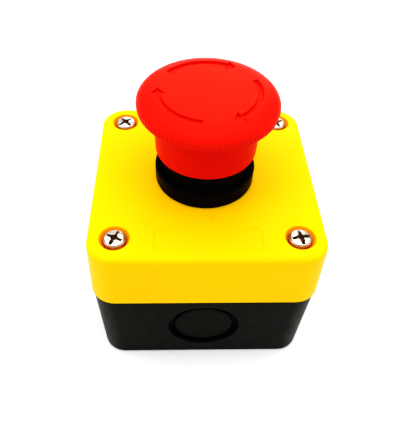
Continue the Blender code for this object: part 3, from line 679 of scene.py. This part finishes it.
def cross_recess(top, seed):
    """The cutter of a tapered cross recess, its four arms worn unevenly by a screwdriver."""
    worn = random.Random(seed)
    tools = []
    for quarter in range(4):
        length = worn.uniform(2.50, 2.95) * MM
        half = worn.uniform(0.44, 0.62) * MM
        edge = [worn.uniform(0.70, 1.35) for _ in range(9)]
        levels = (
            (0.5 * MM, 1.06, 1.15),
            (-0.5 * MM, 0.92, 0.95),
            (-1.7 * MM, 0.34, 0.6),
        )
        arm = []
        for z, reach, wide in levels:
            along = [length * reach * share for share in (-0.10, 0.25, 0.55, 0.80, 0.97)]
            taper = [half * wide * (1 - 0.20 * x / length) for x in along]
            lower = [(x, -y * ragged) for x, y, ragged in zip(along, taper, edge[:5])]
            upper = [(x, y * ragged) for x, y, ragged in zip(along, taper, edge[4:])]
            arm.append([(x, y, top + z) for x, y in lower + upper[::-1]])
        tools.append(placed(loft(arm), turn=about("Z", 90 * quarter + worn.uniform(-4, 4))))
    pit = [(0.2 * MM, top - 1.95 * MM), (0.85 * MM, top - 1.1 * MM), (1.15 * MM, top + 0.5 * MM)]
    tools.append(lathe(pit, 32))
    return tools


def helix(height, angle, pitch):
    """Where a point is on an outer thread: 0 on its crest, 1 in its root."""
    turn = (height / pitch - angle / (2 * math.pi)) % 1.0
    return abs(2 * turn - 1)


def thread(low, high, root, crest, pitch):
    """A screw's threaded shank: a rod whose radius follows a helix, tapering at the tip."""
    rows = int((high - low) / pitch * 6)

    def ridge(radius, height, angle):
        tip = min(1.0, (height - low) / (2 * MM) + 0.25)
        return (radius + (crest - radius) * (1 - helix(height, angle, pitch))) * tip

    path = [(root, low + (high - low) * row / rows) for row in range(rows + 1)]
    return lathe(path, 24, shape=ridge)


def build_screws():
    """Pan-head cross-recess screws, each turned its own way."""
    bottom = LID_TOP - WELL_DEPTH + 0.3 * MM
    head = rounded(
        [
            (SHANK_RADIUS, bottom - 0.5 * MM, 0),
            (SHANK_RADIUS, bottom, 0),
            (SCREW_RADIUS, bottom, 0.15 * MM),
            (SCREW_RADIUS, SCREW_TOP - 0.5 * MM, 0.35 * MM),
            (SCREW_RADIUS * 0.85, SCREW_TOP - 0.15 * MM, 0.9 * MM),
            (SCREW_RADIUS * 0.25, SCREW_TOP, 0),
        ],
        steps=6,
    )

    def in_the_recess(centre):
        away = math.hypot(centre.x, centre.y)
        return away < 3.0 * MM and bottom + 0.2 * MM < centre.z < SCREW_TOP - 0.24 * MM

    root, pitch = 1.3 * MM, 1.1 * MM
    for number, (corner, turn) in enumerate(zip(CORNERS, SCREW_TURNS), 1):
        screw = lathe(head, 72)
        combine(screw, "DIFFERENCE", cross_recess(SCREW_TOP, number))
        shank = thread(SCREW_TIP, bottom - 0.3 * MM, root, SHANK_RADIUS, pitch)
        combine(screw, "UNION", [shank])
        # Mark the faces inside the cross recess, where dark brown is painted as shade.
        mark(screw, "grime", in_the_recess)
        placed(screw, (*corner, 0), about("Z", turn))
        shade(screw, 35)
        piece(screw, f"screw_{number}", "plated_steel", "enclosure", f"lid_screw_{number}")


# Operator --------------------------------------------------------------------------------
def barrel_thread(radius, height, angle):
    """The thread on the outside of the barrel, which fades out at both ends."""
    if abs(radius - BARREL_RADIUS) > 0.01 * MM or not BARREL_END < height < THREAD_TOP:
        return radius
    fade = min(1.0, (height - BARREL_END) / MM, (THREAD_TOP - height) / MM)
    return radius - 0.45 * MM * helix(height, angle, THREAD_PITCH) * max(0.0, fade)


def build_housing():
    """Bezel, sleeve and threaded barrel in one moulding."""
    flange = HOUSING_LOW.z + 16.4 * MM
    web_top, web_bottom = LATCH_HEIGHT + 1.8 * MM, LATCH_HEIGHT - 1.8 * MM
    latch_top, latch_bottom = LATCH_HEIGHT + 0.8 * MM, LATCH_HEIGHT - 0.8 * MM
    latch, seat, sleeve_bore = 7.5 * MM, 14.5 * MM, 11.2 * MM
    seat_top, inset_floor = flange + 1.3 * MM, BEZEL_TOP - 0.5 * MM
    inset_radius, inset_lip = 14.0 * MM, 14.15 * MM
    rows = 48
    barrel = [
        (BARREL_RADIUS, THREAD_TOP - (THREAD_TOP - BARREL_END - 0.6 * MM) * row / rows, 0)
        for row in range(rows + 1)
    ]
    path = rounded(
        [
            (SLEEVE_RADIUS - 0.2 * MM, SLEEVE_TOP, 0),
            (SLEEVE_RADIUS, SLEEVE_TOP - 0.3 * MM, 0.15 * MM),
            (SLEEVE_RADIUS, inset_floor, 0.15 * MM),
            (inset_radius, inset_floor, 0.1 * MM),
            (inset_lip, BEZEL_TOP, 0.2 * MM),
            (BEZEL_RADIUS, BEZEL_TOP, 0.6 * MM),
            (BEZEL_RADIUS, flange, 0.25 * MM),
            (seat, flange, 0.1 * MM),
            (seat, seat_top, 0.1 * MM),
            (BARREL_RADIUS, seat_top, 0.1 * MM),
            *barrel,
            (BARREL_RADIUS, BARREL_END, 0.5 * MM),
            (BARREL_BORE, BARREL_END, 0.2 * MM),
            (BARREL_BORE, web_bottom, 0.2 * MM),
            (SPINDLE_BORE, web_bottom, 0.1 * MM),
            (SPINDLE_BORE, latch_bottom, 0),
            (latch, latch_bottom, 0),
            (latch, latch_top, 0),
            (SPINDLE_BORE, latch_top, 0),
            (SPINDLE_BORE, web_top, 0.1 * MM),
            (sleeve_bore, web_top, 0.2 * MM),
            (sleeve_bore, SLEEVE_TOP, 0),
        ],
        steps=4,
    )
    housing = lathe(path, 192, closed=True, shape=barrel_thread)
    key = box((-1.2 * MM, 10.5 * MM, LID_TOP - 2.7 * MM), (1.2 * MM, 12 * MM, flange + 1.5 * MM))
    combine(housing, "UNION", [key])
    half, reach, slot_top = 1.8 * MM, 9.9 * MM, 52.5 * MM
    slots = box((-half, -reach, BARREL_END - MM), (half, reach, slot_top))
    combine(housing, "DIFFERENCE", [slots])
    shade(housing)
    piece(
        housing,
        "bezel_housing",
        "black_plastic",
        "enclosure",
        "operator_housing",
        finish="satin_black",
    )


def arrow_outline(tail, tip):
    """A curved arrow in plan, clockwise from tail to tip (degrees), points anticlockwise."""
    neck = tip + 10.5
    half_shaft, half_head = 0.8 * MM, 2.1 * MM
    count = 16

    def at(out, degrees):
        radius = ARROW_RADIUS + out
        angle = math.radians(degrees)
        return (radius * math.cos(angle), radius * math.sin(angle))

    along = [tail + (neck - tail) * index / count for index in range(count + 1)]
    outer = [at(half_shaft, degrees) for degrees in along]
    inner = [at(-half_shaft, degrees) for degrees in along]
    head = [at(half_head, neck), at(0.0, tip), at(-half_head, neck)]
    return (outer + head + inner[::-1])[::-1]


def rim_ribs(radius, height, angle):
    """Fine upright ribs around the rim, which run out on the shoulder above it."""
    wave = 0.5 + 0.5 * math.cos(RIBS * angle)
    limit = RIB_ROOT + (HEAD_RADIUS - RIB_ROOT) * wave**1.5
    return min(radius, limit) if height > HEAD_RIM - 0.5 * MM else radius


def build_head():
    """Red mushroom head: flat top with engraved arrows, round shoulder, ribbed rim, collar."""
    crown = HEAD_TOP - HEAD_PARTING
    shoulder = HEAD_RADIUS - HEAD_FLAT_RADIUS
    steps = 28
    path = [(HEAD_FLAT_RADIUS - 1.2 * MM, HEAD_TOP)]
    for index in range(steps + 1):
        angle = math.pi / 2 * index / steps
        path.append(
            (
                HEAD_FLAT_RADIUS + shoulder * math.sin(angle),
                HEAD_PARTING + crown * math.cos(angle),
            )
        )
    ceiling = HEAD_TOP - 3.2 * MM
    wall, boss = 1.45 * MM, 7.6 * MM
    boss_end = SLEEVE_TOP + 0.5 * MM
    path += rounded(
        [
            (19.95 * MM, HEAD_PARTING - 0.3 * MM, 0),
            (19.85 * MM, HEAD_RIM, 0.35 * MM),
            (19.0 * MM, HEAD_RIM - 0.4 * MM, 0.3 * MM),
            (COLLAR_TOP_RADIUS, HEAD_RIM - 1.0 * MM, 0.6 * MM),
            (COLLAR_END_RADIUS, COLLAR_END, 0.35 * MM),
            (COLLAR_END_RADIUS - wall, COLLAR_END, 0.3 * MM),
            (COLLAR_TOP_RADIUS - wall - 0.2 * MM, ceiling, 0.5 * MM),
            (boss, ceiling, 0.4 * MM),
            (boss, boss_end, 0.3 * MM),
            (SPINDLE_BORE, boss_end, 0.2 * MM),
            (SPINDLE_BORE, ceiling - MM, 0),
            (2.0 * MM, ceiling - MM, 0),
        ],
        steps=5,
    )
    head = lathe(path, RIBS * 8, shape=rim_ribs)
    engraved = 0.70 * MM
    arrows = [
        sunk_shape(arrow_outline(tail, tail - ARROW_SWEEP), engraved, HEAD_TOP)
        for tail in ARROW_TAILS
    ]
    combine(head, "DIFFERENCE", arrows)
    shade(head, 32)
    piece(head, "head_cap", "red_plastic", "head", "mushroom_head")


# Springs ---------------------------------------------------------------------------------
def coil(radius, wire, turns, bottom, top, at=(0.0, 0.0)):
    """A compression spring whose end coils lie close together and are ground flat."""
    bm = bmesh.new()
    per_turn, around, dead = 40, 12, 1.0
    low, high = bottom + wire / 2, top - wire / 2
    count = int(turns * per_turn)
    rise = high - low - 2 * dead * wire
    rings = []
    for index in range(count + 1):
        turn = turns * index / count
        live = min(max(turn - dead, 0.0), turns - 2 * dead)
        height = low + rise * live / (turns - 2 * dead)
        height += wire * (min(turn, dead) + max(turn - turns + dead, 0.0))
        angle = 2 * math.pi * turn
        out = Vector((math.cos(angle), math.sin(angle), 0))
        centre = Vector((at[0], at[1], height)) + radius * out
        ring = []
        for step in range(around):
            side = 2 * math.pi * step / around
            away = math.cos(side) * out + math.sin(side) * Vector((0, 0, 1))
            point = centre + wire / 2 * away
            point.z = min(max(point.z, bottom + 0.12 * wire), top - 0.12 * wire)
            ring.append(bm.verts.new(point))
        rings.append(ring)
    return solid(skinned(bm, rings))


def build_springs():
    """The return spring, the twist spring and both contact springs."""
    low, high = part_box("return_spring")
    lift = coil(9.7 * MM, 1.1 * MM, 6.5, low.z, high.z)
    shade(lift, 40)
    piece(lift, "return_coil", "spring_steel", "enclosure", "return_spring")
    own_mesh(lift)

    low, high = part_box("twist_spring")
    turn = coil(7.0 * MM, 0.9 * MM, 5.0, low.z, high.z)
    shade(turn, 40)
    piece(turn, "twist_coil", "spring_steel", "pusher", "twist_spring")

    for prefix in ("nc", "no"):
        low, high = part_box(f"{prefix}_spring")
        spring = coil(2.6 * MM, 0.5 * MM, 7.0, low.z, high.z, middle(low, high))
        shade(spring, 40)
        piece(spring, f"{prefix}_coil", "spring_steel", "enclosure", f"{prefix}_spring")
        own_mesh(spring)


# Round inner pieces ----------------------------------------------------------------------
def nut_thread(radius, height, angle):
    """The thread inside the nut, as the shape of its cutter."""
    return radius + 0.4 * MM * (1 - helix(height, angle, THREAD_PITCH))


def flat_ring(node, inner, edge, segments, steps):
    """A ring with a flat section and rounded edges, as wide and high as its CAD node."""
    low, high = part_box(node)
    section = [(inner, low.z), (high.x, low.z), (high.x, high.z), (inner, high.z)]
    path = rounded([(x, z, edge) for x, z in section], closed=True, steps=steps)
    return lathe(path, segments, closed=True)


def build_fixings():
    """Gasket under the bezel, and the chamfered nut that clamps the lid's panel."""
    gasket = flat_ring("panel_gasket", 12.4 * MM, 0.2 * MM, 128, 4)
    shade(gasket)
    piece(gasket, "gasket_ring", "black_rubber", "enclosure", "panel_gasket")

    low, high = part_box("panel_nut")
    corner, chamfer = high.x, 0.55 * MM
    flat = corner - 1.9 * chamfer
    blank = [
        (flat, low.z),
        (corner, low.z + chamfer),
        (corner, high.z - chamfer),
        (flat, high.z),
    ]
    nut = lathe(blank, 120)
    hexagon = [
        (corner * math.cos(math.pi / 3 * step), corner * math.sin(math.pi / 3 * step))
        for step in range(6)
    ]
    sides = loft([[(x, y, z) for x, y in hexagon] for z in (low.z - MM, high.z + MM)])
    combine(nut, "INTERSECT", [sides])
    rows = 24
    reach = high.z - low.z + 2 * MM
    bore = BARREL_RADIUS + 0.3 * MM
    path = [(bore, low.z - MM + reach * row / rows) for row in range(rows + 1)]
    combine(nut, "DIFFERENCE", [lathe(path, 96, shape=nut_thread)])
    cleaned(nut)
    shade(nut)
    piece(nut, "clamp_nut", "grey_plastic", "enclosure", "panel_nut")


def build_spindle():
    """Spindle with its latch and clip grooves, its retaining ring and its rubber ring."""
    low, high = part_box("head_spindle")
    radius, end, top = high.x, low.z, high.z
    groove, groove_radius = LATCH_HEIGHT + PRESS_TRAVEL, radius - 0.6 * MM
    clip, clip_radius = end + 1.3 * MM, 4.4 * MM
    clip_top = clip + 1.4 * MM
    path = rounded(
        [
            (2.0 * MM, top, 0),
            (radius, top, 0.5 * MM),
            (radius, groove + 1.2 * MM, 0.3 * MM),
            (groove_radius, groove + 0.6 * MM, 0.2 * MM),
            (groove_radius, groove - 0.6 * MM, 0.2 * MM),
            (radius, groove - 1.2 * MM, 0.3 * MM),
            (radius, clip_top, 0.1 * MM),
            (clip_radius, clip_top, 0.1 * MM),
            (clip_radius, clip, 0.1 * MM),
            (radius, clip, 0.1 * MM),
            (radius, end, 0.4 * MM),
            (2.0 * MM, end, 0),
        ],
        steps=4,
    )
    spindle = lathe(path, 96)
    shade(spindle)
    piece(spindle, "spindle_shaft", "white_plastic", "head", "head_spindle")

    ring = flat_ring("spindle_clip", 4.7 * MM, 0.12 * MM, 96, 3)
    low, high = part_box("spindle_clip")
    gap = box((-2.2 * MM, 0, low.z - MM), (2.2 * MM, 9 * MM, high.z + MM))
    combine(ring, "DIFFERENCE", [gap])
    shade(ring)
    piece(ring, "clip_ring", "spring_steel", "head", "spindle_clip")

    low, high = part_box("spindle_seal")
    thick = (high.z - low.z) / 2
    count = 20
    path = []
    for step in range(count):
        angle = 2 * math.pi * step / count
        path.append(
            (high.x - thick + thick * math.cos(angle), low.z + thick + thick * math.sin(angle))
        )
    seal = lathe(path, 96, closed=True)
    shade(seal)
    piece(seal, "spindle_ring", "black_rubber", "enclosure", "spindle_seal")


def build_pusher():
    """Sliding cup with two guide ears, which presses the plungers."""
    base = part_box("pusher")[0].z
    outer, hole, pocket_radius = 8.3 * MM, 3.2 * MM, 7.1 * MM
    top, floor = base + 9.8 * MM, base + 1.8 * MM
    pocket_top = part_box("head_spindle")[0].z + 3.0 * MM
    path = rounded(
        [
            (outer, top, 0.4 * MM),
            (outer, base, 0.4 * MM),
            (hole, base, 0.2 * MM),
            (hole, floor, 0.15 * MM),
            (pocket_radius, floor, 0.2 * MM),
            (pocket_radius, pocket_top, 0.1 * MM),
            (SPINDLE_BORE, pocket_top, 0.15 * MM),
            (SPINDLE_BORE, top, 0.2 * MM),
        ],
        closed=True,
        steps=4,
    )
    cup = lathe(path, 96, closed=True)
    half, root, tip = 1.5 * MM, 7.6 * MM, 9.6 * MM
    ear_bottom, ear_top = 38.5 * MM, 45 * MM
    ears = [
        box((-half, side * root, ear_bottom), (half, side * tip, ear_top)) for side in (-1, 1)
    ]
    combine(cup, "UNION", ears)
    shade(cup)
    piece(cup, "pusher_cup", "white_plastic", "pusher", "pusher")


def build_terminal_screw(prefix, number):
    """A slotted pan-head screw, head down, under one of a contact block's terminals."""
    node = f"{prefix}_terminal_screw_{number}"
    low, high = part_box(node)
    core, radius, deep = 1.2 * MM, 2.35 * MM, 2.2 * MM
    head = rounded(
        [
            (core, -deep - 0.4 * MM, 0),
            (core, -deep, 0),
            (radius, -deep, 0.15 * MM),
            (radius, 0, 0.45 * MM),
            (0.4 * MM, 0, 0),
        ]
    )
    screw = lathe(head, 64)
    slot = box((-3 * MM, -0.4 * MM, -0.9 * MM), (3 * MM, 0.4 * MM, MM))
    combine(screw, "DIFFERENCE", [slot])
    root, crest, pitch = 1.05 * MM, 1.4 * MM, 0.7 * MM
    shank = thread(low.z - high.z, -2.0 * MM, root, crest, pitch)
    combine(screw, "UNION", [shank])
    cleaned(screw)
    turn = about("Z", 20 * number) @ about("X", 180)
    placed(screw, (*middle(low, high), low.z), turn)
    shade(screw, 35)
    piece(screw, f"{prefix}_screw_{number}", "plated_steel", "enclosure", node)


def build_clamp_plate(prefix, number):
    """The square plate that a terminal's screw pulls onto the wire."""
    node = f"{prefix}_clamp_{number}"
    low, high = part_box(node)
    half, edge = (high.x - low.x) / 2, 0.12 * MM
    levels = (
        (half - edge, low.z),
        (half, low.z + edge),
        (half, high.z - edge),
        (half - edge, high.z),
    )
    plate = loft([square_loop(size, 0.3 * MM, z) for size, z in levels])
    hole = 1.75 * MM
    drill = lathe([(hole, low.z - MM), (hole, high.z + MM)], 48)
    at = (*middle(low, high), 0)
    combine(placed(plate, at), "DIFFERENCE", [placed(drill, at)])
    shade(plate)
    piece(plate, f"{prefix}_plate_{number}", "plated_steel", "enclosure", node)


def build_terminals():
    """The screw and the clamp plate of every terminal."""
    for prefix in ("nc", "no"):
        for number in (1, 2):
            build_terminal_screw(prefix, number)
            build_clamp_plate(prefix, number)


# Inner pieces ----------------------------------------------------------------------------
def softened(node):
    """A copy of a CAD node with its flat faces joined up and its sharp edges rounded."""
    bm = bmesh.new()
    bm.from_mesh(node.data)
    bmesh.ops.remove_doubles(bm, verts=bm.verts, dist=SAME_POINT)
    bmesh.ops.dissolve_limit(bm, angle_limit=math.radians(1), verts=bm.verts, edges=bm.edges)
    sharp = [edge for edge in bm.edges if edge.calc_face_angle() > math.radians(35)]
    width = 0.12 * MM
    bmesh.ops.bevel(
        bm,
        geom=sharp,
        offset=width,
        offset_type="OFFSET",
        segments=2,
        profile=0.5,
        affect="EDGES",
        clamp_overlap=True,
    )
    return solid(without_slivers(bm))


def build_inner_pieces():
    """A piece for every CAD node that has none yet, on the body that the node rides on.

    A node that has its piece is hidden.
    """
    slots = {row["node"]: row["material_slot"] for row in frame["record"]["subparts"]}
    for name, node in frame["nodes"].items():
        if node.hide_render:
            continue
        inner = softened(node)
        shade(inner, 35)
        body = node.parent.name.split(":")[1]
        piece(inner, f"{name}_fine", slots[name], body, name)


# Stage, lights and camera ----------------------------------------------------------------
def build_stage():
    """A pale floor, wide enough to meet the white surround in every view."""
    bm = bmesh.new()
    half_side = 2.2
    bmesh.ops.create_grid(bm, x_segments=1, y_segments=1, size=half_side)
    floor = solid(bm, "floor")
    floor.location.z = -0.1 * MM
    made, tree, shader, place = new_material("pale_floor")
    stains = noise(tree, place, 30, 3.0)
    tones = two_tones(tree, stains, (0.71, 0.71, 0.71), (0.73, 0.73, 0.73))
    tree.links.new(tones, shader.inputs["Base Color"])
    shader.inputs["Roughness"].default_value = 0.8
    shader.inputs["Specular IOR Level"].default_value = 0.1
    floor.data.materials.append(made)


def area_light(name, at, aim, size, watts):
    """A square softbox at a place, turned to face a point."""
    light = bpy.data.lights.new(name, "AREA")
    light.shape = "SQUARE"
    light.size = size
    light.energy = watts
    lamp = bpy.data.objects.new(name, light)
    lamp.location = at
    lamp.rotation_euler = (Vector(aim) - Vector(at)).to_track_quat("-Z", "Y").to_euler()
    bpy.context.scene.collection.objects.link(lamp)


def build_lights():
    """Soft, bright studio light: a surround that is white near the horizon, and softboxes."""
    world = bpy.data.worlds.new("surround")
    world.use_nodes = True
    tree = world.node_tree
    split = tree.nodes.new("ShaderNodeSeparateXYZ")
    direction = tree.nodes.new("ShaderNodeTexCoord").outputs["Generated"]
    tree.links.new(direction, split.inputs[0])
    glow = spread(tree, split.outputs["Z"], low=0.98, high=0.55, start=0.22, end=0.50)
    tree.links.new(glow, tree.nodes["Background"].inputs["Strength"])
    tree.nodes["Background"].inputs["Color"].default_value = (1, 1, 1, 1)
    bpy.context.scene.world = world
    aim = (0, 0, 0.04)
    area_light("overhead", (0, 0.2, 3.0), aim, size=4.4, watts=215.0)
    area_light("left", (-0.60, -0.10, 0.35), aim, size=0.45, watts=1.6)
    area_light("right", (0.60, -0.10, 0.35), aim, size=0.45, watts=1.2)
    area_light("rear", (0.10, 0.70, 0.30), aim, size=0.45, watts=1.4)


def build_camera():
    """The camera: target, direction and distance, with a small lens shift for the framing."""
    long_side = 424
    focal_length = 488.9
    azimuth, elevation, roll = (math.radians(angle) for angle in (-2.474, 50.12, 1.72))
    target = Vector((-4.22 * MM, 0, 22.73 * MM))
    distance = 178.63 * MM
    back = Vector(
        (
            math.sin(azimuth) * math.cos(elevation),
            -math.cos(azimuth) * math.cos(elevation),
            math.sin(elevation),
        )
    )
    level = Vector((math.cos(azimuth), math.sin(azimuth), 0))
    upright = back.cross(level)
    right = math.cos(roll) * level + math.sin(roll) * upright
    up = back.cross(right)
    camera = bpy.data.objects.new("camera", bpy.data.cameras.new("camera"))
    turn = Matrix((right, up, back)).transposed()
    camera.matrix_world = Matrix.Translation(target + back * distance) @ turn.to_4x4()
    camera.data.lens = camera.data.sensor_width * focal_length / long_side
    camera.data.shift_x = 0.026
    camera.data.shift_y = 0.057
    camera.data.clip_start = 0.01
    bpy.context.scene.collection.objects.link(camera)
    bpy.context.scene.camera = camera


def set_tones():
    """Plain display colours, with the deepest tones pulled down a little."""
    view = bpy.context.scene.view_settings
    view.view_transform = "Standard"
    view.use_curve_mapping = True
    combined = 3
    tone = view.curve_mapping.curves[combined]
    tones = (
        (0.012, 0.0015),
        (0.030, 0.0070),
        (0.045, 0.0130),
        (0.10, 0.062),
        (0.25, 0.24),
        (0.60, 0.60),
    )
    for level, shown in tones:
        tone.points.new(level, shown)
    for point in tone.points:
        point.handle_type = "VECTOR"
    view.curve_mapping.update()


build_base()
build_lid()
build_screws()
build_housing()
build_head()
build_springs()
build_fixings()
build_spindle()
build_pusher()
build_terminals()
build_inner_pieces()
build_stage()
build_lights()
build_camera()
set_tones()
